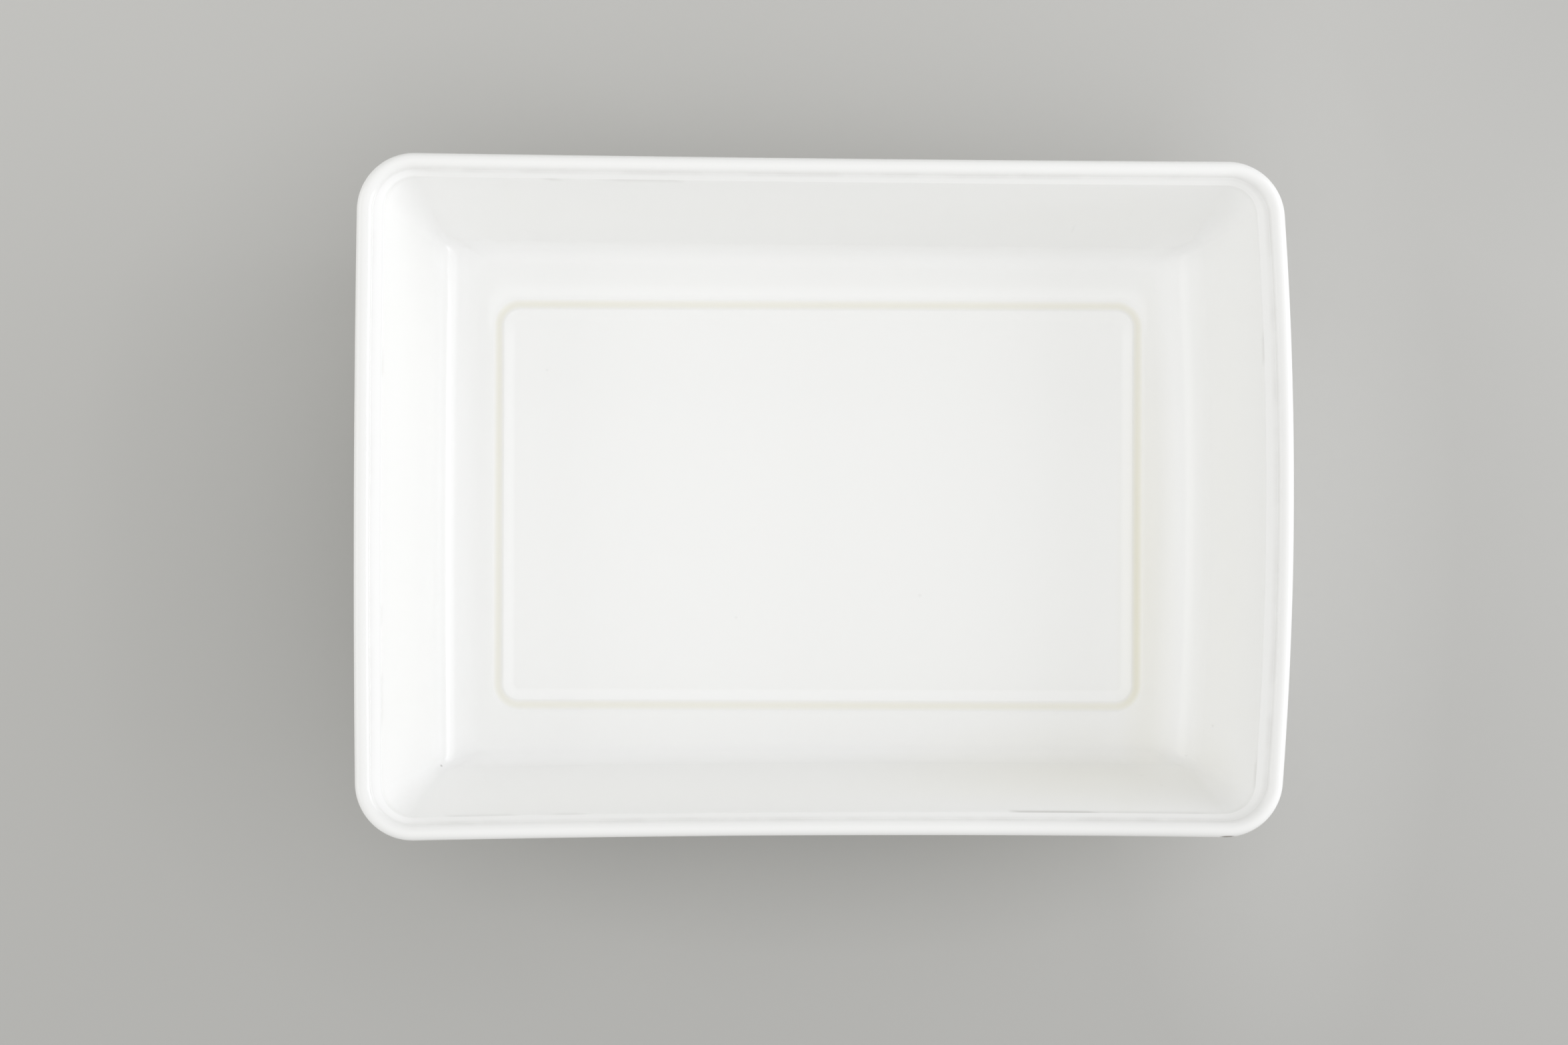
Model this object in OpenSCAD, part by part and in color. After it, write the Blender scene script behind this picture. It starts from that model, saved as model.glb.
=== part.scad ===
// Rectangular baking dish, slip cast in one piece of white stoneware and glazed all over
// but for the foot. The origin is under the middle of the dish, on the surface that it
// stands on. X runs along the length, Y from front to back and Z up. Millimetres.

/* [Overall size] */
// Length over the rim, at the corners of the ends
rim_l = 335.6; // [260:0.2:420]
// Width over the rim, at the corners of the sides, halfway along the dish
rim_w = 246.6; // [180:0.2:320]
// Height from the foot to the top of the rim
dish_h = 64; // [45:0.5:90]
// Corner radius of the rim, seen from above
rim_corner_r = 21; // [17:0.5:45]

/* [Rim] */
// Width of the round bead along the top
bead_w = 6.2; // [5:0.1:8]
// Width of the sloping ledge inside the bead
ledge_w = 3.4; // [1:0.1:6]
// How far the ledge lies below the top of the bead where they meet
ledge_drop = 2; // [1:0.1:2.4]
// How far the ledge falls from there to its edge
ledge_fall = 2; // [0:0.1:3]
// Radius of the edge where the ledge turns down into the wall
ledge_edge_r = 0.6; // [0.3:0.1:1]
// Radius of the hollow under the bead, outside
neck_r = 2.5; // [1:0.1:5]

/* [Walls] */
// Thickness of the wall
wall_t = 5.5; // [4:0.1:7]
// Lean of the wall from upright, in degrees
wall_draft = 14.5; // [6:0.5:20]
// Radius of the cove between wall and floor along the ends, inside
end_cove_r = 17; // [6:0.5:20]
// Radius of the cove along the sides
side_cove_r = 9; // [6:0.5:20]
// Radius of the heel between wall and base, outside
heel_r = 12; // [5:0.5:16]
// Corner radius inside, where the walls reach the cove
wall_corner_r = 4; // [2:0.5:12]
// Corner radius outside, where the walls reach the heel
heel_corner_r = 9; // [5:0.5:16]

/* [Floor] */
// Thickness of the floor between cove and groove
floor_t = 5.5; // [4:0.1:8]
// From the straight rim line of an end to the middle of the groove in the floor
ring_from_end = 42; // [38:0.5:60]
// From the straight rim line of a side to the middle of the groove
ring_from_side = 44.4; // [40:0.1:60]
// How far the ring and the groove sit off the middle, towards the right end
ring_offset = 0.8; // [-2:0.1:2]
// Corner radius of the groove, at its middle
ring_corner_r = 8.5; // [7:0.5:20]
// Width of the groove
groove_w = 4.2; // [2:0.1:5]
// Depth of the groove
groove_depth = 0.5; // [0.2:0.1:1.2]
// Width of the soft shoulder inside the groove
shoulder_w = 4.5; // [2:0.1:6]
// How far the middle panel lies below the rest of the floor
panel_drop = 0.5; // [0:0.1:1.5]

/* [Foot] */
// Height of the foot ring under the base
foot_h = 2.5; // [1:0.1:5]
// Width of the unglazed face that the dish stands on
foot_face_w = 4; // [2.5:0.1:8]
// Lean of the sides of the foot ring from upright, in degrees
foot_draft = 20; // [0:1:35]
// Bevel along both edges of that face
foot_bevel = 0.5; // [0.2:0.1:0.8]

/* [Kiln warp] */
// How far the right end bulges at its middle
right_bow = 3.6; // [-3:0.1:6]
// How far the left end bulges at its middle
left_bow = 0.7; // [-3:0.1:6]
// How far the back bulges at its middle, negative where it has drawn in
back_bow = -0.4; // [-4:0.1:4]
// How far the front bulges at its middle, negative where it has drawn in
front_bow = -1.3; // [-4:0.1:4]
// How much wider the left end is than the right end
left_end_extra = 4.4; // [-6:0.1:8]

/* [Hidden] */
glaze_white = [0.93, 0.93, 0.91];

// Steps round each corner, along each side, and along each arc of the section.
CORNER_STEPS = 10;
SIDE_STEPS = 6;
ARC_STEPS = 6;

// Heights of the floor, both sides of the ledge and the middle of the bead.
floor_z = foot_h + floor_t;
ledge_z = dish_h - ledge_drop;
edge_z = ledge_z - ledge_fall;
bead_r = bead_w / 2;
bead_z = dish_h - bead_r;

// Every section is given by its inset, which is how far it lies inside the rim line.
// The ledge starts on the bead, and the inner face of the wall is a line that starts at
// the ledge's edge.
edge_inset = bead_w + ledge_w;
ledge_inset = bead_r + sqrt(pow(bead_r, 2) - pow(ledge_z - bead_z, 2));
ledge_slope = atan(ledge_fall / (edge_inset - ledge_inset));
function inner_wall(z) = edge_inset + (edge_z - z) * tan(wall_draft);
function outer_wall(z) = inner_wall(z) - wall_t / cos(wall_draft);

// One loop of the surface: its inset at the ends and at the sides, its height, its corner
// radius, and how much of the warp it has, from 0 to 1.
function loop_at(inset, z, corner_r, warp = 1) = [inset, inset, z, corner_r, warp];
function ring_loop(outward, z) =
    [ring_from_end - outward, ring_from_side - outward, z, ring_corner_r + outward, 0];

// A loop that runs beside the rim line keeps the rim's corner centre.
function rim_loop(inset, z) = loop_at(inset, z, rim_corner_r - inset);

// Inside, from the middle panel out and up to the bead.
shoulder_loops = [for (k = [0:ARC_STEPS - 1])
    let (t = k / ARC_STEPS)
    ring_loop(-groove_w / 2 - shoulder_w * (1 - t), floor_z - panel_drop * (1 + cos(180 * t)) / 2)];

groove_r = (pow(groove_w / 2, 2) + pow(groove_depth, 2)) / (2 * groove_depth);
groove_half_angle = asin(groove_w / 2 / groove_r);
groove_loops = [for (k = [0:ARC_STEPS])
    let (a = groove_half_angle * (2 * k / ARC_STEPS - 1))
    ring_loop(groove_r * sin(a), floor_z - groove_depth + groove_r * (1 - cos(a)))];

// The cove is an arc that touches floor and wall. It is wider along the ends than along
// the sides, so the smaller one goes over into the wall's line lower down.
function cove_top(r) = floor_z + r * (1 - sin(wall_draft));
function with_cove(z, r) =
    z >= cove_top(r) ? inner_wall(z)
    : inner_wall(cove_top(r)) + r * cos(wall_draft) - sqrt(max(0, pow(r, 2) - pow(floor_z + r - z, 2)));
cove_steps = 8;
cove_loops = [for (k = [0:cove_steps])
    let (z = floor_z + (cove_top(max(end_cove_r, side_cove_r)) - floor_z) * pow(k / cove_steps, 2))
    [with_cove(z, end_cove_r), with_cove(z, side_cove_r), z, wall_corner_r, 1]];

// The ledge's edge is an arc that touches the wall's line and the ledge's.
edge_centre = [edge_inset, edge_z] - ledge_edge_r / (1 + sin(wall_draft + ledge_slope))
    * [cos(wall_draft) + sin(ledge_slope), sin(wall_draft) + cos(ledge_slope)];
edge_loops = [for (k = [0:ARC_STEPS / 2])
    let (a = wall_draft + (90 - ledge_slope - wall_draft) * k / (ARC_STEPS / 2))
    rim_loop(edge_centre[0] + ledge_edge_r * cos(a), edge_centre[1] + ledge_edge_r * sin(a))];

// The hollow under the bead touches both the bead and the outer face of the wall. Its
// centre lies at bead_r + neck_r from the bead's and at neck_r from the wall's face.
neck_start = [outer_wall(bead_z) - neck_r * cos(wall_draft) - bead_r, -neck_r * sin(wall_draft)];
neck_lean = neck_start[0] * sin(wall_draft) - neck_start[1] * cos(wall_draft);
neck_down = sqrt(pow(neck_lean, 2) + pow(bead_r + neck_r, 2) - neck_start * neck_start) - neck_lean;
neck_offset = neck_start + neck_down * [sin(wall_draft), -cos(wall_draft)];
neck_angle = atan2(-neck_offset[1], -neck_offset[0]);

// The bead, from the ledge up to the top, out to the rim line and down to the hollow.
bead_turns = [180 - asin((bead_r - ledge_drop) / bead_r), 90, 0, -neck_angle];
bead_loops = [for (turn = [0:2]) for (k = [0:ARC_STEPS - (turn < 2 ? 1 : 0)])
    let (a = bead_turns[turn] + (bead_turns[turn + 1] - bead_turns[turn]) * k / ARC_STEPS)
    rim_loop(bead_r * (1 - cos(a)), bead_z + bead_r * sin(a))];

neck_loops = [for (k = [1:ARC_STEPS / 2])
    let (a = neck_angle + (wall_draft - neck_angle) * k / (ARC_STEPS / 2))
    rim_loop(bead_r + neck_offset[0] + neck_r * cos(a), bead_z + neck_offset[1] + neck_r * sin(a))];

heel_top_z = foot_h + heel_r * (1 - sin(wall_draft));
heel_inset = outer_wall(heel_top_z) + heel_r * cos(wall_draft);
heel_loops = [for (k = [0:ARC_STEPS])
    let (a = wall_draft + (90 - wall_draft) * k / ARC_STEPS)
    loop_at(heel_inset - heel_r * cos(a), foot_h + heel_r * (1 - sin(a)), heel_corner_r)];

// The corner circles of a loop, from front right round to front left. The left end is the
// wider one.
function corner_centres(l) =
    let (x = rim_l / 2 - l[0] - l[3],
         y = rim_w / 2 - l[1] - l[3],
         extra = left_end_extra / 4 * l[4],
         off = ring_offset * (1 - l[4]))
    [[off + x, extra - y], [off + x, y - extra], [off - x, y + extra], [off - x, -y - extra]];

// A side between two corner circles is an arc that bulges by its bow, and both corners
// turn exactly as far as the arcs that they join leave for them.
function bows(l) = l[4] * [right_bow, back_bow, left_bow, front_bow];
function half_turn(bow, chord) = 2 * atan(2 * bow / chord);
function on_side(t, chord, turn) =
    let (a = turn * (2 * t - 1))
    abs(turn) < 0.001 ? [chord * t, 0]
    : chord / 2 * [1 + sin(a) / sin(turn), (cos(a) - cos(turn)) / sin(turn)];

function loop_points(l) =
    let (c = corner_centres(l),
         r = l[3],
         chord = [for (i = [0:3]) norm(c[(i + 1) % 4] - c[i])],
         along = [for (i = [0:3]) (c[(i + 1) % 4] - c[i]) / chord[i]],
         facing = [for (i = [0:3]) atan2(-along[i][0], along[i][1])],
         turn = [for (i = [0:3]) half_turn(bows(l)[i], chord[i])])
    [for (i = [0:3])
        let (before = (i + 3) % 4,
             from = facing[before] + turn[before],
             sweep = (facing[i] - turn[i] - from + 720) % 360)
        each concat(
            [for (k = [0:CORNER_STEPS])
                let (a = from + sweep * k / CORNER_STEPS)
                [c[i][0] + r * cos(a), c[i][1] + r * sin(a), l[2]]],
            [for (k = [1:SIDE_STEPS - 1])
                let (t = k / SIDE_STEPS,
                     p = on_side(t, chord[i], turn[i]),
                     a = facing[i] + turn[i] * (2 * t - 1),
                     out = [cos(facing[i]), sin(facing[i])],
                     q = c[i] + p[0] * along[i] + p[1] * out + r * [cos(a), sin(a)])
                [q[0], q[1], l[2]]])];

// Skin over the loops in turn, closed by a point in the middle of the first and the last.
module skin(loops) {
    rows = [for (l = loops) loop_points(l)];
    n = len(rows[0]);
    m = len(rows);
    poles = [[0, 0, rows[0][0][2]], [0, 0, rows[m - 1][0][2]]];
    quads = [for (k = [0:m - 2]) for (i = [0:n - 1])
        let (j = (i + 1) % n)
        [k * n + i, k * n + j, (k + 1) * n + j, (k + 1) * n + i]];
    first_fan = [for (i = [0:n - 1]) [n * m, (i + 1) % n, i]];
    last_fan = [for (i = [0:n - 1]) [n * m + 1, (m - 1) * n + i, (m - 1) * n + (i + 1) % n]];
    polyhedron(points = concat([for (r = rows) each r], poles),
               faces = concat(quads, first_fan, last_fan), convexity = 6);
}

// Carries a section, drawn with x outwards from the path and y up, round a rounded
// rectangle.
module around(length, width, corner_r) {
    for (i = [0:3]) {
        straight = i % 2 == 0 ? width : length;
        reach = (i % 2 == 0 ? length : width) / 2;
        rotate([0, 0, 90 * i]) {
            translate([reach, 0, 0]) rotate([90, 0, 0])
                linear_extrude(height = straight - 2 * corner_r, center = true) children();
            translate([reach - corner_r, straight / 2 - corner_r, 0])
                rotate_extrude(angle = 90, $fn = 96) translate([corner_r, 0]) children();
        }
    }
}

// The walls, rim and floor: one skin from the middle of the floor, over the rim and round
// to the middle of the base.
module body() {
    skin(concat(shoulder_loops, groove_loops, cove_loops, edge_loops,
                bead_loops, neck_loops, heel_loops));
}

// The foot ring runs below the groove in the floor, which is its mark on the inside.
foot_sink = 1;
module foot_section() {
    half = foot_face_w / 2;
    spread = (foot_h + foot_sink) * tan(foot_draft);
    polygon([[-half, 0], [half, 0],
             [half + foot_bevel, foot_bevel],
             [half + foot_bevel + spread, foot_h + foot_sink],
             [-half - foot_bevel - spread, foot_h + foot_sink],
             [-half - foot_bevel, foot_bevel]]);
}

// A bulge moves the middle of the whole dish off the middle of its rim lines.
middle = [max(right_bow, 0) - max(left_bow, 0), max(back_bow, 0) - max(front_bow, 0)] / 2;

module baking_dish() {
    color(glaze_white)
    translate([-middle[0], -middle[1], 0])
    union() {
        body();
        translate([ring_offset, 0, 0])
            around(rim_l - 2 * ring_from_end, rim_w - 2 * ring_from_side, ring_corner_r) foot_section();
    }
}

baking_dish();
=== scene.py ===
"""A white glazed baking dish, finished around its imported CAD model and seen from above."""

import bpy
import numpy as np
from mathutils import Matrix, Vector


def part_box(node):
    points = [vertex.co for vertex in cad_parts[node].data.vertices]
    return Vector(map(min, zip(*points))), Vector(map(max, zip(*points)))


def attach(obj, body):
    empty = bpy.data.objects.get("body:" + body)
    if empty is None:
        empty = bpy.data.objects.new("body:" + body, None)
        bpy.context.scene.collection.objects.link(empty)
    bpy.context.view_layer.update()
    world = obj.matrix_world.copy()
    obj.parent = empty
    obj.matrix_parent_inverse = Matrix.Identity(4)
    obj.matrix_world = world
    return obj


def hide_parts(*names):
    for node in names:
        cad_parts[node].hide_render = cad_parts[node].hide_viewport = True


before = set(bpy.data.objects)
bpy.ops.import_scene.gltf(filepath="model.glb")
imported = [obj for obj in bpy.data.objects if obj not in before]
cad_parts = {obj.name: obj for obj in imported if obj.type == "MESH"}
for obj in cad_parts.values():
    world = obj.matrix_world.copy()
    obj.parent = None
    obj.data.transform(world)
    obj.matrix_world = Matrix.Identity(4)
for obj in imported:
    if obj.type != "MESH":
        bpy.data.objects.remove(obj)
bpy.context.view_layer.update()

# The dish. It was slip cast in one piece of white stoneware, glazed and fired. The floor
# inside has a sunk panel, whose shoulder rises to a shallow groove above the foot ring, where
# the clay drew in as it dried. The glaze has run into the groove.
MM = 0.001
foot_h = 2.5 * MM
floor_t = 5.5 * MM
floor_z = foot_h + floor_t
ring_from_end = 42 * MM
ring_from_side = 44.4 * MM
ring_corner_r = 8.5 * MM
groove_w = 4.2 * MM
groove_depth = 0.5 * MM
shoulder_w = 4.5 * MM
panel_drop = 0.5 * MM
shoulder_rows, groove_rows = 12, 17

# The columns of a loop, in the order that the next function gives them.
END, SIDE, HEIGHT, CORNER_R, WARP, POOLED, THIN, BARE = range(8)


def loops(ends, sides, z, corner_r, warp, pooled=0.0, thin=0.0, bare=0.0):
    """Loops round the dish, one a row: how far each lies inside the rim line at the ends and
    at the sides, its height, corner radius and share of the warp, and how much the glaze is
    pooled, thin or missing there."""
    parts = np.broadcast_arrays(ends, sides, z, corner_r, warp, pooled, thin, bare)
    return np.stack(parts, axis=-1).reshape(-1, len(parts))


def ring_loops(outward, z, pooled=0.0, bare=0.0):
    """Loops beside the middle of the foot ring, which the kiln hasn't bowed."""
    return loops(ring_from_end - outward, ring_from_side - outward, z, ring_corner_r + outward, 0,
                 pooled=pooled, bare=bare)


# The shoulder is half a wave of a cosine, with its loops a little closer together towards the
# groove, and the groove is an arc.
up_shoulder = np.linspace(0, 1, shoulder_rows, endpoint=False) ** 0.8
shoulder = ring_loops(-groove_w / 2 - shoulder_w * (1 - up_shoulder),
                      floor_z - panel_drop * (1 + np.cos(np.pi * up_shoulder)) / 2)
groove_r = ((groove_w / 2) ** 2 + groove_depth**2) / (2 * groove_depth)
across = np.linspace(-1, 1, groove_rows)
angle = across * np.arcsin(groove_w / 2 / groove_r)
groove = ring_loops(groove_r * np.sin(angle), floor_z - groove_depth + groove_r * (1 - np.cos(angle)),
                    pooled=np.cos(across * np.pi / 2) ** 1.3)

# The walls inside. They lean out, and stand on a cove that is wide at the ends and narrow at
# the sides. At the top a rounded edge, where the glaze is thinner, turns them into the ledge.
low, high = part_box("baking_dish")
dish_h = high.z
rim_corner_r = 21 * MM
bead_r = 3.1 * MM
bead_z = dish_h - bead_r
ledge_w = 3.4 * MM
ledge_drop = 2 * MM
ledge_fall = 2 * MM
ledge_edge_r = 0.6 * MM
side_ledge_less = 1.3 * MM
wall_draft = np.radians(14.5)
wall_corner_r = 4 * MM
end_cove_r = 17 * MM
side_cove_r = 9 * MM
ledge_z = dish_h - ledge_drop
ledge_start = bead_r + np.sqrt(bead_r**2 - (ledge_z - bead_z) ** 2)
edge_inset = 2 * bead_r + ledge_w
edge_z = ledge_z - ledge_fall
ledge_slope = np.arctan2(ledge_fall, edge_inset - ledge_start)
low_cove_rows, high_cove_rows, wall_rows, edge_rows = 28, 13, 21, 9


def inner_wall(z):
    """Inset of the wall's inner face: a straight line down from the ledge's edge."""
    return edge_inset + (edge_z - z) * np.tan(wall_draft)


def cove_top(cove_r):
    """Height where a cove ends: its arc is a quarter of a circle less the wall's lean."""
    return floor_z + cove_r * (1 - np.sin(wall_draft))


def with_cove(z, cove_r):
    """Inset at each height, by the wall's line or, lower down, the cove's arc."""
    top = cove_top(cove_r)
    arc = inner_wall(top) + cove_r * np.cos(wall_draft)
    arc = arc - np.sqrt(np.maximum(cove_r**2 - (cove_r - z + floor_z) ** 2, 0))
    return np.where(z < top, arc, inner_wall(z))


def set_back(z):
    """How much further out the side walls stand than the wall's line, so that the ledge is
    narrower there: none at the floor, growing with the square of the height."""
    return side_ledge_less * ((z - floor_z) / (edge_z - floor_z)) ** 2


cove_z = np.append(
    floor_z + (cove_top(side_cove_r) - floor_z) * np.linspace(0, 1, low_cove_rows) ** 2,
    np.linspace(cove_top(side_cove_r), cove_top(end_cove_r), high_cove_rows + 1)[1:])
cove = loops(with_cove(cove_z, end_cove_r), with_cove(cove_z, side_cove_r) - set_back(cove_z),
             cove_z, wall_corner_r, 1)

# The edge's arc touches wall and ledge: its centre lies behind their corner, by its radius
# times the sum of the directions that they face, over one more than the cosine between these.
facings = np.array([[np.cos(wall_draft), np.sin(wall_draft)],
                    [np.sin(ledge_slope), np.cos(ledge_slope)]])
edge_centre = np.array([edge_inset, edge_z]) - ledge_edge_r * facings.sum(axis=0) / (
    1 + np.sin(wall_draft + ledge_slope))
angle = np.linspace(wall_draft, np.pi / 2 - ledge_slope, edge_rows)
edge_in = edge_centre[0] + ledge_edge_r * np.cos(angle)
edge_up = edge_centre[1] + ledge_edge_r * np.sin(angle)
edge = loops(edge_in, edge_in - set_back(edge_up), edge_up, rim_corner_r - edge_in, 1,
             thin=0.3 * np.sin(np.linspace(0, np.pi, edge_rows)) ** 2)
wall_z = np.linspace(cove_top(end_cove_r), edge[0, HEIGHT], wall_rows + 2)[1:-1]
wall = loops(inner_wall(wall_z), inner_wall(wall_z) - set_back(wall_z), wall_z,
             np.linspace(wall_corner_r, edge[0, CORNER_R], wall_rows + 2)[1:-1], 1)

# The ledge falls a little towards the inside. Glaze fills the trough between it and the bead
# with a small fillet that touches both, and it is thin there and on the ledge's outer half.
trough_r = 0.8 * MM
trough_rows, ledge_rows = 8, 9


def rim_loops(inset, z, thin=0.0):
    """Loops that run beside the rim line, so their corners share its corner centres."""
    return loops(inset, inset, z, rim_corner_r - inset, 1, thin=thin)


def between(first, last, count):
    """Loops spaced evenly from one loop to another, without those two."""
    share = np.arange(1, count + 1)[:, None] / (count + 1)
    return first + (last - first) * share


def beside_bead(begin, direction, r):
    """Centre, seen from the bead's, of an arc that touches the bead: the point on the line
    from begin that is as far from the bead's centre as the two radii together."""
    passed = begin @ direction
    return begin + direction * (np.sqrt(passed**2 + (bead_r + r) ** 2 - begin @ begin) - passed)


along_ledge = np.array([np.cos(ledge_slope), -np.sin(ledge_slope)])
off_ledge = np.array([np.sin(ledge_slope), np.cos(ledge_slope)])
fillet = beside_bead(np.array([ledge_start - bead_r, ledge_z - bead_z]) + trough_r * off_ledge,
                     along_ledge, trough_r)
trough_turn = np.arctan2(fillet[1], fillet[0])
angle = np.linspace(-np.pi / 2 - ledge_slope, -np.pi + trough_turn, trough_rows)
trough = rim_loops(bead_r + fillet[0] + trough_r * np.cos(angle),
                   bead_z + fillet[1] + trough_r * np.sin(angle),
                   thin=np.linspace(0.9, 1, trough_rows))
ledge = between(edge[-1], trough[0], ledge_rows)
ledge[:, THIN] = np.clip(np.linspace(-1, 1, ledge_rows), 0, 1)

# The bead at the rim, which the glaze leaves thin on its inner side. It runs from the trough
# over the top and out to a hollow under it, which touches the bead and the wall's outer face.
wall_t = 5.5 * MM
neck_r = 2.5 * MM
bead_rows, hollow_rows = 39, 8


def outer_wall(z):
    """Inset of the outer face: the inner one, less the wall's thickness measured level."""
    return inner_wall(z) - wall_t / np.cos(wall_draft)


down_wall = np.array([np.sin(wall_draft), -np.cos(wall_draft)])
neck = beside_bead(np.array([outer_wall(bead_z) - neck_r * np.cos(wall_draft) - bead_r,
                             -neck_r * np.sin(wall_draft)]), down_wall, neck_r)
neck_turn = np.arctan2(-neck[1], -neck[0])
angle = np.linspace(np.pi - trough_turn, -neck_turn, bead_rows + 1)[1:]
bead = rim_loops(bead_r * (1 - np.cos(angle)), bead_z + bead_r * np.sin(angle),
                 thin=np.clip(np.cos(angle) * -2.2 - 1.2, 0, 1))
angle = np.linspace(neck_turn, wall_draft, hollow_rows + 1)[1:]
hollow = rim_loops(bead_r + neck[0] + neck_r * np.cos(angle),
                   bead_z + neck[1] + neck_r * np.sin(angle))

# Outside, the heel turns the wall into the base. The foot ring stands out of the base below
# the groove, with a fillet at its root and a bevel. Its face was wiped bare before firing.
heel_r = 12 * MM
heel_corner_r = 9 * MM
foot_face_w = 4 * MM
foot_bevel = 0.5 * MM
foot_flare = 0.85 * MM
foot_root_r = 0.8 * MM
rounding_out = np.array([0.25, 0.05, -0.1]) * MM
rounding_z = np.array([0.15, 0.02, 0]) * MM
heel_rows, root_rows = 15, 5
angle = np.linspace(wall_draft, np.pi / 2, heel_rows)
heel_in = outer_wall(foot_h + heel_r * (1 - np.sin(wall_draft))) + heel_r * np.cos(wall_draft)
heel_in = heel_in - heel_r * np.cos(angle)
heel = loops(heel_in, heel_in, foot_h + heel_r * (1 - np.sin(angle)), heel_corner_r, 1)
angle = np.linspace(0, np.pi / 2, root_rows + 1)[:-1]
root_out = foot_bevel + foot_flare + foot_root_r * (1 - np.sin(angle))
root_z = foot_h - foot_root_r * (1 - np.cos(angle))
foot_out = foot_face_w / 2 + np.concatenate([root_out, [foot_bevel], rounding_out])
foot_z = np.concatenate([root_z, [foot_bevel], rounding_z])
foot_bare = np.concatenate([np.zeros(root_rows), [0.6, 1, 1, 1]])
foot_outside = ring_loops(foot_out, foot_z, bare=foot_bare)
foot_inside = ring_loops(-foot_out[::-1], foot_z[::-1], bare=foot_bare[::-1])

# The whole skin, from the shoulder over the rim to the foot ring's inner side. The kiln has
# bowed the dish's sides, each by its own amount, and left the foot ring a little off the
# middle. Shrinking loops close the panel and the base.
right_bow, left_bow, back_bow, front_bow = 3.6 * MM, 0.7 * MM, -0.4 * MM, -1.3 * MM
left_end_extra = 4.4 * MM
ring_offset = 0.8 * MM
rim_l = high.x - low.x - right_bow - left_bow
rim_w = high.y - low.y - left_end_extra / 2
corner_steps, side_steps = 26, 60
panel_rows, border_rows, outer_wall_rows, base_border_rows, base_rows = 9, 5, 13, 4, 7
border = between(groove[-1], cove[0], border_rows)
inside = np.concatenate([shoulder, groove, border, cove, wall])
section = np.concatenate([
    inside, edge, ledge, trough, bead, hollow,
    between(hollow[-1], heel[0], outer_wall_rows), heel,
    between(heel[-1], foot_outside[0], base_border_rows), foot_outside, foot_inside])


def carry(section):
    """Carries the section round the dish. Each loop is four corner circles and the four arcs
    that join them. An arc bulges by its side's bow, and a corner turns from the end of one
    arc to the start of the next. Gives one row of points a loop, as complex numbers."""
    corner_r, warp = section[:, CORNER_R], section[:, WARP]
    x = rim_l / 2 - section[:, END] - corner_r
    y = rim_w / 2 - section[:, SIDE] - corner_r
    extra = left_end_extra / 4 * warp
    off = ring_offset * (1 - warp)
    centres = [off + x + 1j * (extra - y), off + x + 1j * (y - extra),
               off - x + 1j * (y + extra), off - x - 1j * (y + extra)]
    bows = [right_bow, back_bow, left_bow, front_bow]
    joins = [centres[(i + 1) % 4] - centres[i] for i in range(4)]
    facing = [np.angle(-1j * join) for join in joins]
    barely = 1e-7  # keeps a side that isn't bowed from a division by zero
    turn = [2 * np.arctan2(2 * bow * warp, abs(join)) + barely for bow, join in zip(bows, joins)]
    corner_t = np.arange(corner_steps + 1) / corner_steps
    side_t = np.arange(1, side_steps) / side_steps
    parts = []
    for i in range(4):
        begin = facing[i - 1] + turn[i - 1]
        sweep = (facing[i] - turn[i] - begin) % (2 * np.pi)
        angle = begin[:, None] + sweep[:, None] * corner_t
        parts.append(centres[i][:, None] + corner_r[:, None] * np.exp(1j * angle))
        half = turn[i][:, None]
        swing = half * (2 * side_t - 1)
        along = (1 + np.sin(swing) / np.sin(half)) / 2
        out = (np.cos(swing) - np.cos(half)) / np.sin(half) / 2
        straight = joins[i][:, None] * (along - 1j * out)
        parts.append(centres[i][:, None] + straight
                     + corner_r[:, None] * np.exp(1j * (facing[i][:, None] + swing)))
    return np.concatenate(parts, axis=1)


def inwards(rim, count):
    """Loops that shrink evenly from a row of points towards the middle, without both."""
    share = np.arange(1, count + 1)[:, None] / (count + 1)
    return rim * share


def down_the_rows(column):
    """A column of the section for each row of the skin, with none on the panel and base."""
    return np.concatenate([np.zeros(len(panel)), section[:, column], np.zeros(len(base))])[:, None]


flat = carry(section)
panel = inwards(flat[0], panel_rows)
base = inwards(flat[-1], base_rows)[::-1]
plan = np.concatenate([panel, flat, base])
rows, columns = plan.shape
heights = np.concatenate([
    np.full(len(panel), section[0, HEIGHT]), section[:, HEIGHT], np.full(len(base), foot_h)])
points = np.stack([plan.real, plan.imag, np.broadcast_to(heights[:, None], plan.shape)], axis=-1)

# The hand-poured glaze lies a little unevenly, which shows in what it reflects. It swells in
# and out in long ripples, apart from the bare face of the foot.
glaze_unevenness = 0.01 * MM


def outward_normals(points):
    """Normals of a grid of points: the cross product of the step to the next row with the
    step to the next column, both taken across each point."""
    down_rows = np.gradient(points, axis=0)
    round_columns = np.roll(points, -1, axis=1) - np.roll(points, 1, axis=1)
    normals = np.cross(down_rows, round_columns)
    return normals / np.maximum(np.linalg.norm(normals, axis=-1, keepdims=True), 1e-12)


def ripples(points, count, shortest, longest, seed):
    """Sum of plane sine waves that cross the points in all directions, each with its own
    wavelength, scaled to a spread of 1."""
    draw = np.random.default_rng(seed)
    total = np.zeros(points.shape[:-1])
    for _ in range(count):
        direction = draw.normal(size=3)
        direction /= np.linalg.norm(direction)
        wavelength = draw.uniform(shortest, longest)
        phase = draw.uniform(0, 2 * np.pi)
        total += np.sin(2 * np.pi / wavelength * (points @ direction) + phase)
    return total / np.sqrt(count / 2)


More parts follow.
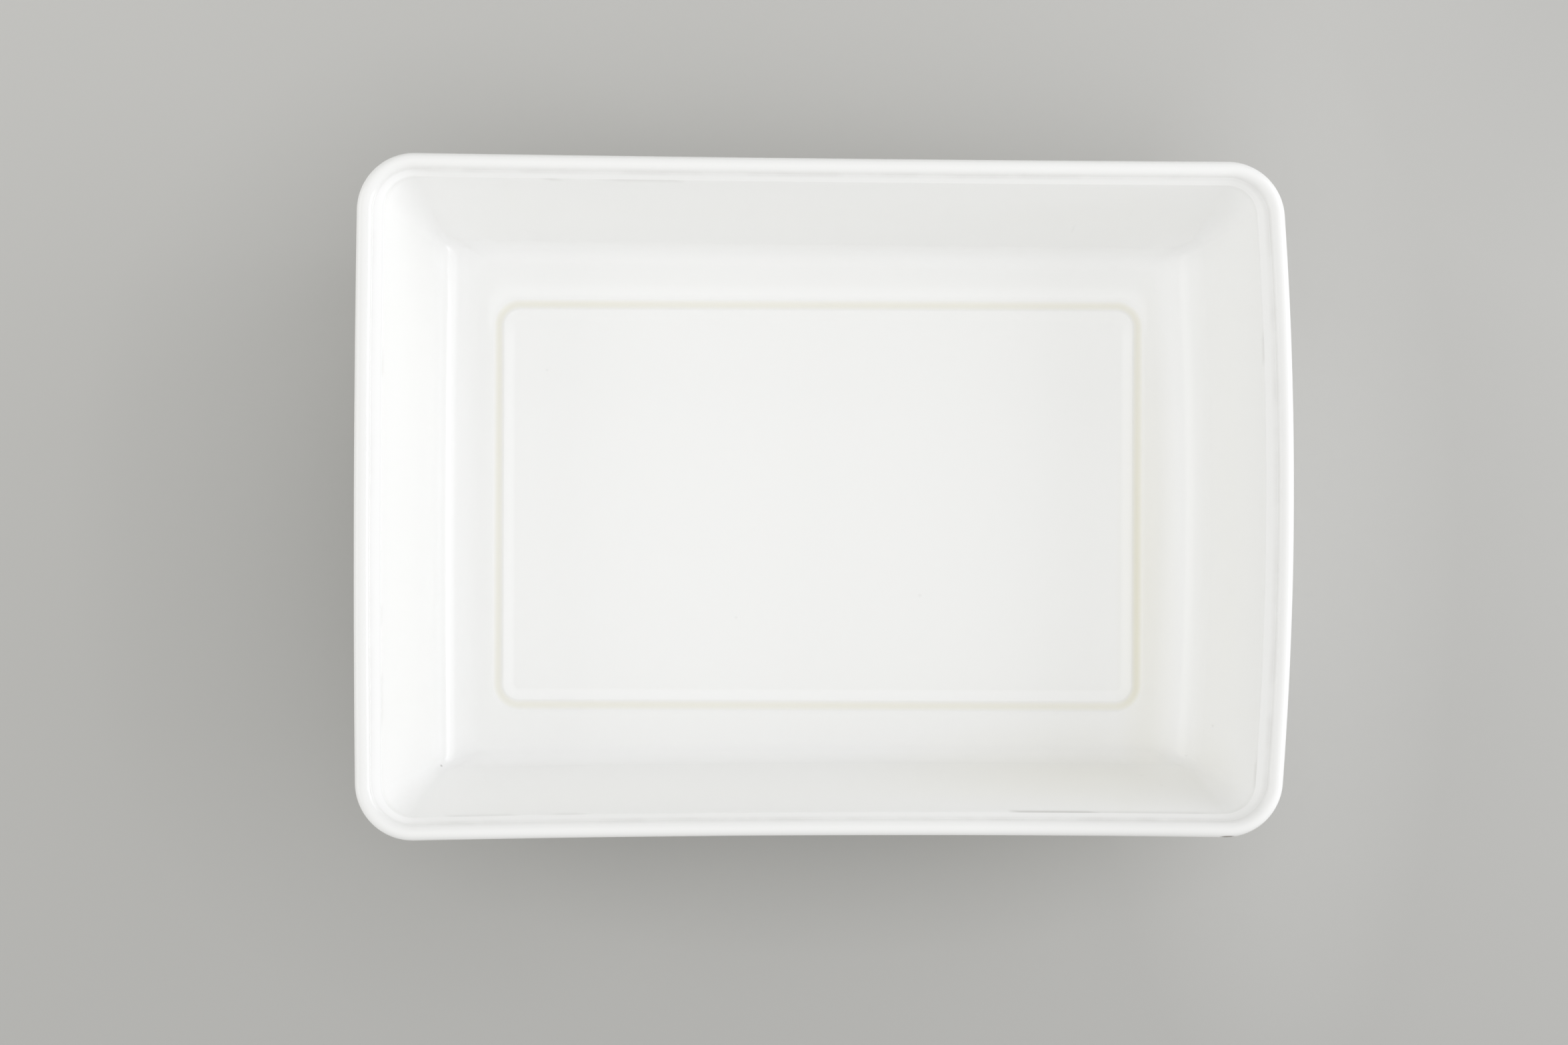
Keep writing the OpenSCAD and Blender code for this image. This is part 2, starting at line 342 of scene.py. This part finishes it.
glazed = down_the_rows(BARE) == 0
swell = ripples(points, count=16, shortest=25 * MM, longest=80 * MM, seed=5)
swell = swell * glazed * glaze_unevenness
points = points + outward_normals(points) * swell[..., None]
middle_x = (max(right_bow, 0) - max(left_bow, 0)) / 2
points[..., 0] -= middle_x
points = np.clip(points, list(low), list(high))

# Four-sided faces join the rows of points, and two fans close the panel and the base.
grid = np.arange(rows * columns).reshape(rows, columns)
beside = np.roll(grid, -1, axis=1)
quads = np.stack([grid[:-1], grid[1:], beside[1:], beside[:-1]], axis=-1).reshape(-1, 4)
first_fan = np.stack([np.full(columns, grid.size), grid[0], beside[0]], axis=-1)
last_fan = np.stack([np.full(columns, grid.size + 1), beside[-1], grid[-1]], axis=-1)
faces = quads.tolist() + first_fan.tolist() + last_fan.tolist()
poles = [[-middle_x, 0, heights[0]], [-middle_x, 0, foot_h]]
mesh = bpy.data.meshes.new("dish")
mesh.from_pydata(np.concatenate([points.reshape(-1, 3), poles]).tolist(), [], faces)
mesh.shade_smooth()

# Painted light, as a purer white glaze colour: in the cove and the corners it stands for light
# that the render's few bounces leave out, and on the ledge at the left end, which faces the lamps
# at the right, and in a line that runs inside the groove and at the back outside it, it is a painted
# highlight.
crook_reach, corner_reach = 9 * MM, 13 * MM
highlight_inside_groove = 0.5 * np.sin(np.pi * up_shoulder) ** 0.5
highlight_outside_groove = np.array([0.5, 0.35, 0.1])
ledge_highlight = 0.8


def depth_in_crook(plan, heights, reach, corner_reach):
    """How deep a point lies in a crook of the inside. For each two of end wall, side wall and
    floor, the exponential fall with distance from the one times that from the other, added up."""
    wall_in = inner_wall(np.maximum(heights, floor_z))[:, None]
    from_end = np.exp(-abs(rim_l / 2 - wall_in - abs(plan.real)) / reach)
    from_side = np.exp(-abs(rim_w / 2 - wall_in - abs(plan.imag)) / reach)
    from_floor = np.exp(-np.maximum(heights - floor_z, 0) / reach)[:, None]
    in_corner = (from_end * from_side) ** (reach / corner_reach)
    return np.clip(in_corner + from_side * from_floor + from_floor * from_end, 0, 1)


def rows_after(*before, count):
    """The skin's next rows after the panel and the loops named."""
    first = len(panel) + sum(len(part) for part in before)
    return slice(first, first + count)


is_inside = (np.arange(rows) < len(panel) + len(inside))[:, None]
painted_light = depth_in_crook(plan, heights, crook_reach, corner_reach) * is_inside

# The back begins at ten twelfths of the way to the ring's back side and is full at eleven, and
# the left begins 140 mm from the middle and is full at 150 mm.
ring_half_w = rim_w / 2 - ring_from_side
at_back = np.clip(plan.imag / ring_half_w * 12 - 10, 0, 1)
at_left = np.clip(-plan.real / (10 * MM) - 14, 0, 1)
on_shoulder = rows_after(count=len(shoulder))
painted_light[on_shoulder] += highlight_inside_groove[:, None] * (1 - at_back[on_shoulder])
past_groove = rows_after(shoulder, groove, count=len(highlight_outside_groove))
painted_light[past_groove] += highlight_outside_groove[:, None] * at_back[past_groove]
on_ledge = rows_after(inside, edge, count=len(ledge))
painted_light[on_ledge] += ledge_highlight * at_left[on_ledge]

# Stretches where the glaze has broken along the ledge's edge. For each the side (0 the right
# end, 1 the back, 2 the left end, 3 the front), its start and end along it in millimetres,
# and how bare it is.
broken_stretches = [
    (0, 50, 61, 0.3), (0, -104, -94, 0.3), (1, -101, -94, 0.3), (1, -78, -52, 0.25),
    (2, 43, 52, 0.2), (2, -46, -41, 0.2), (2, -83, -64, 0.2), (3, -135, -111, 0.25),
    (3, -97, -86, 0.25), (3, 72, 99, 0.9), (3, 99, 142, 0.3)]
break_fade = 3 * MM
across_edge = np.sin(np.linspace(0.35 * np.pi, np.pi, len(edge)))[:, None]
side_of = np.arange(columns) * 4 // columns
along_side = np.where(side_of % 2 == 0, flat[len(inside)].imag, flat[len(inside)].real)
on_edge = rows_after(inside, count=len(edge))
worn = np.zeros(plan.shape)
for side, begin, end, bareness in broken_stretches:
    from_ends = np.minimum(along_side - begin * MM, end * MM - along_side)
    share = np.clip(from_ends / break_fade + 0.5, 0, 1)
    worn[on_edge] += across_edge * share * (side_of == side) * bareness

# At the left end, which faces the lamps at the right, the grey of thin glaze is halved: painted light.
layers = {"pooled": down_the_rows(POOLED), "thin": down_the_rows(THIN) * (1 - 0.5 * at_left),
          "bare": down_the_rows(BARE), "painted_light": painted_light, "worn": worn}
for name, layer in layers.items():
    values = np.append(np.broadcast_to(layer, plan.shape), [0, 0]).astype(np.float32)
    mesh.attributes.new(name, "FLOAT", "POINT").data.foreach_set("value", values)
dish = bpy.data.objects.new("dish", mesh)
bpy.context.scene.collection.objects.link(dish)

# The glaze: a glossy white that is a thin grey on sharp edges, a purer white where light is
# painted in and a pale yellow green where it pools. The foot's face is bare clay.
glaze_white = (0.93, 0.93, 0.915, 1)
glaze_clouded = (0.86, 0.865, 0.85, 1)
glaze_painted_light = (0.99, 0.99, 0.98, 1)
glaze_pooled = (0.82, 0.79, 0.63, 1)
glaze_thin = (0.62, 0.61, 0.59, 1)
clay_bare = (0.62, 0.56, 0.47, 1)
mark_and_shadow_dark = (0.28, 0.26, 0.23, 1)
glaze_roughness = 0.17
glaze_ior = 1.5
bump_depth = 0.2 * MM


class Field:
    """A value or colour that changes over a surface: one output of a material's nodes.
    Sums, differences and products of it add Math nodes."""

    def __init__(self, tree, socket=None):
        self.tree = tree
        self.socket = socket

    def node(self, kind, settings, sockets, output=0):
        """Adds a node: its settings first, then a value or a link for each socket named. The two
        stops of a ramp are settings too, each a position and a shade of grey."""
        made = self.tree.nodes.new(kind)
        for name, value in settings.items():
            if name == "stops":
                for stop, (position, shade) in zip(made.color_ramp.elements, value):
                    stop.position = position
                    stop.color = (shade, shade, shade, 1)
            else:
                setattr(made, name, value)
        for name, value in sockets.items():
            if isinstance(value, Field):
                self.tree.links.new(value.socket, made.inputs[name])
            else:
                made.inputs[name].default_value = value
        return Field(self.tree, made.outputs[output])

    def maths(self, operation, first, second):
        """Adds a Math node that works on two values or Fields."""
        return self.node("ShaderNodeMath", {"operation": operation}, {0: first, 1: second})

    def __add__(self, other):
        return self.maths("ADD", self, other)

    def __sub__(self, other):
        return self.maths("SUBTRACT", self, other)

    def __rsub__(self, other):
        return self.maths("SUBTRACT", other, self)

    def __mul__(self, other):
        return self.maths("MULTIPLY", self, other)

    __radd__, __rmul__ = __add__, __mul__


def new_material(name):
    """A material with an empty tree: its Field to build on, and the output to link to."""
    material = bpy.data.materials.new(name)
    material.use_nodes = True
    material.node_tree.nodes.clear()
    tree = material.node_tree
    output = tree.nodes.new("ShaderNodeOutputMaterial")
    return material, Field(tree), output


# The functions below add their nodes to the material begun last, through the names field and
# place: its Field and the coordinates of its piece.
material, field, output = new_material("white_glaze")
place = field.node("ShaderNodeTexCoord", {}, {}, "Object")


def amount(name):
    """A layer of the mesh, read at each point."""
    return field.node("ShaderNodeAttribute", {"attribute_name": name}, {}, "Fac")


def noise(scale, detail):
    """Clouds from 0 to 1, so many to the metre."""
    return field.node("ShaderNodeTexNoise", {}, {"Vector": place, "Scale": scale, "Detail": detail}, "Fac")


def mixed(share, first, second):
    """The first colour, with a share of it replaced by the second."""
    return field.node("ShaderNodeMix", {"data_type": "RGBA"}, {0: share, 6: first, 7: second}, 2)


def spots(marks):
    """Sum of soft marks, for each its middle and half its size in millimetres, and its
    strength, which falls evenly from the middle to none at an ellipsoid of that size."""
    total = 0
    for centre, semi_axes, strength in marks:
        middle, reach = Vector(centre) * MM, Vector(semi_axes) * MM
        off = field.node("ShaderNodeVectorMath", {"operation": "SUBTRACT"}, {0: place, 1: middle})
        off = field.node("ShaderNodeVectorMath", {"operation": "DIVIDE"}, {0: off, 1: reach})
        off = field.node("ShaderNodeVectorMath", {"operation": "LENGTH"}, {0: off}, "Value")
        total = total + field.maths("MAXIMUM", 1 - off, 0) * strength
    return total


# Thin glaze breaks into patches. A film of pooled glaze lies along the groove at the right end,
# and the same yellow is painted shade on the front wall's right part, which the right end wall keeps
# from the lamps at the right. The rim is a greyer colour at the front right. How much of each colour is
# mixed in was fitted to the photograph.
pooled, thin, bare = amount("pooled"), amount("thin"), amount("bare")
broken = field.node("ShaderNodeValToRGB", {"stops": [(0.42, 0), (0.6, 1)]}, {"Fac": noise(70, 3)})
clouded = noise(9, 2)
# Pooled glaze at the groove's right end, and painted shade on the front wall's right part.
pooled_film_and_shade = spots([((129, -30, 8), (13, 125, 10), 0.25), ((98, -106, 24), (95, 25, 38), 0.21)])
# The rim is a greyer colour at the front right.
greyer_front_rim = spots([((125, -117.5, 62), (75, 9, 6), 0.22)])
colour = mixed(clouded * 0.03, glaze_white, glaze_clouded)
# Painted light: a purer white in the cove and the corners, and painted highlights beside the groove and on
# the ledge at the left end.
colour = mixed(amount("painted_light"), colour, glaze_painted_light)
colour = mixed(pooled_film_and_shade + pooled * (0.3 + clouded * 0.25 + pooled_film_and_shade * 0.6), colour, glaze_pooled)
colour = mixed(thin * (0.11 + broken * 0.13) + greyer_front_rim, colour, glaze_thin)
colour = mixed(amount("worn"), colour, glaze_thin)
colour = mixed(bare, colour, clay_bare)

# Small faults of the firing: a pit at the front left, one in the right wall and two in the
# front wall, a fine crack in the front right corner, three faint pits in the panel and one in
# the back wall, and a nick on the bead at the front right, whose dark is partly the chip and partly painted
# shadow under its edge.
faults_and_nick_shadow = spots([
    ((-146.8, -102.1, 16.5), (0.7, 0.7, 0.7), 0.6), ((149.6, -84.6, 28.6), (0.9, 0.8, 1.4), 0.12),
    ((123, -103.7, 26.4), (1, 1, 1.2), 0.05), ((128.5, -106.2, 35.6), (1, 1, 1.2), 0.05),
    ((143.1, -97.5, 14.2), (1.6, 0.5, 0.9), 0.1), ((-107.5, 53, 7.5), (0.8, 0.8, 2), 0.08),
    ((39.7, -35.4, 7.5), (1, 1, 2), 0.08), ((-32.7, -44.3, 7.5), (0.8, 0.8, 2), 0.08),
    ((95.8, 106.5, 27), (1, 3, 6), 0.1), ((146.1, -121.8, 62.3), (3.2, 0.8, 1.1), 2)])
colour = mixed(field.maths("MINIMUM", faults_and_nick_shadow, 1), colour, mark_and_shadow_dark)
roughness = glaze_roughness + clouded * 0.02 + bare * 0.7
bump = field.node("ShaderNodeBump", {}, {"Strength": 0.02, "Distance": bump_depth, "Height": noise(420, 2)})
shader = field.node("ShaderNodeBsdfPrincipled", {},
                    {"Base Color": colour, "Roughness": roughness, "Normal": bump, "IOR": glaze_ior})
field.tree.links.new(shader.socket, output.inputs["Surface"])
mesh.materials.append(material)
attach(dish, "root")
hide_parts("baking_dish")

# The table top below the dish: matt and warm grey, with light and shade painted on it: a little
# paler towards the back and beside the right end, where more light falls, and darker where it
# lies in the dish's shade: at the left, in front and at the back right.
front_grey = (0.461, 0.458, 0.440, 1)
back_grey = (0.536, 0.532, 0.512, 1)
shaded_grey = (0.25, 0.25, 0.24, 1)
lit_grey = (0.8, 0.8, 0.78, 1)
table_roughness = 0.8
table_half = 3.0
mesh = bpy.data.meshes.new("table_top")
corners = [(-1, -1), (1, -1), (1, 1), (-1, 1)]
mesh.from_pydata([(x * table_half, y * table_half, 0) for x, y in corners], [], [(0, 1, 2, 3)])
table_top = bpy.data.objects.new("table_top", mesh)
bpy.context.scene.collection.objects.link(table_top)
material, field, output = new_material("table_grey")
place = field.node("ShaderNodeTexCoord", {}, {}, "Object")

# Painted light: the share of the paler back grey is 0 at a quarter of a metre in front of the
# middle and 1 as far behind it, and faint clouds lie on that.
back = field.node("ShaderNodeSeparateXYZ", {}, {0: place}, "Y") * 2 + 0.5 + noise(3, 4) * 0.2 - 0.1
# Painted shadow of the dish, and a painted pool of light beside its right end.
shaded = spots([((-150, -10, 0), (150, 200, 1), 0.3), ((0, -110, 0), (200, 70, 1), 0.33),
                ((310, 220, 0), (110, 130, 1), 0.2)])
lit = spots([((180, -20, 0), (75, 220, 1), 0.27)])
colour = mixed(shaded, mixed(back, front_grey, back_grey), shaded_grey)
colour = mixed(lit, colour, lit_grey)
shader = field.node("ShaderNodeBsdfPrincipled", {}, {"Base Color": colour, "Roughness": table_roughness})
field.tree.links.new(shader.socket, output.inputs["Surface"])
mesh.materials.append(material)

# The light: a pale room that glows overhead, high at the left and, lower down, in front at
# both sides, and four wide soft lamps round the dish: two at the right, one at the left and
# one at the back. The camera sees plain grey in place of the room.
backdrop_grey = (0.50, 0.495, 0.475, 1)
world = bpy.data.worlds.new("room")
bpy.context.scene.world = world
world.use_nodes = True
world.node_tree.nodes.clear()
field = Field(world.node_tree)
towards = field.node("ShaderNodeTexCoord", {}, {}, "Generated")


def glow(direction, power):
    """Light from one side of the room: the cosine of the angle to that direction, raised to a
    power, and none from a right angle on."""
    aimed = field.node("ShaderNodeVectorMath", {"operation": "DOT_PRODUCT"},
                       {0: towards, 1: Vector(direction).normalized()}, "Value")
    return field.maths("POWER", field.maths("MAXIMUM", aimed, 0), power)


overhead = glow((0, 0, 1), 1) * 0.82
high_left = glow((-1, 0, 1.2), 5) * 0.35
low_right = glow((0.7, -0.7, 0.25), 2) * 0.55
low_left = glow((-0.7, -0.7, 0.25), 2) * 0.25
strength = overhead + high_left + (low_right + low_left)
room = field.node("ShaderNodeBackground", {}, {"Color": (1, 1, 1, 1), "Strength": strength})
backdrop = field.node("ShaderNodeBackground", {}, {"Color": backdrop_grey, "Strength": 1})
seen = field.node("ShaderNodeLightPath", {}, {}, "Is Camera Ray")
both = field.node("ShaderNodeMixShader", {}, {0: seen, 1: room, 2: backdrop})
output = world.node_tree.nodes.new("ShaderNodeOutputWorld")
world.node_tree.links.new(both.socket, output.inputs["Surface"])


def soft_lamp(name, where, size, power, colour):
    """A rectangular lamp in that place and of that size, both in metres, which faces the
    middle of the dish. Its power is in watts."""
    lamp = bpy.data.lights.new(name, "AREA")
    lamp.shape = "RECTANGLE"
    lamp.size, lamp.size_y = size
    lamp.energy = power
    lamp.color = colour
    holder = bpy.data.objects.new(name, lamp)
    bpy.context.scene.collection.objects.link(holder)
    holder.location = where
    holder.rotation_euler = (-Vector(where)).to_track_quat("-Z", "Y").to_euler()


cool_white, warm_white = (0.99, 1, 1.04), (1, 1, 0.98)
soft_lamp("lamp_right", (1.2, 0.3, 0.5), (1.2, 0.7), 4.75, cool_white)
soft_lamp("lamp_side", (1.5, 0, 0.3), (1, 0.4), 4.4, cool_white)
soft_lamp("lamp_left", (-1.2, 0.1, 0.5), (1.2, 0.7), 2.8, warm_white)
soft_lamp("lamp_back", (0, 1.2, 0.5), (1.6, 0.7), 1.95, warm_white)

# The camera looks straight down, from above a point left of and in front of the middle,
# and its frame is shifted so that the dish stands where the photograph has it.
image_w = 2352
focal_px = 2480
shift_right_px, shift_up_px = 21, 97
camera_place = (-0.01935, -0.03226, 0.659)
dish_turn = np.radians(0.195)
camera = bpy.data.cameras.new("camera")
camera.sensor_width = 36
camera.lens = focal_px / image_w * camera.sensor_width
camera.shift_x = shift_right_px / image_w
camera.shift_y = shift_up_px / image_w
camera.clip_start, camera.clip_end = 0.01, 20
holder = bpy.data.objects.new("camera", camera)
bpy.context.scene.collection.objects.link(holder)
holder.location = camera_place
holder.rotation_euler = (0, 0, dish_turn)
bpy.context.scene.camera = holder

bpy.context.scene.view_settings.view_transform = "Standard"
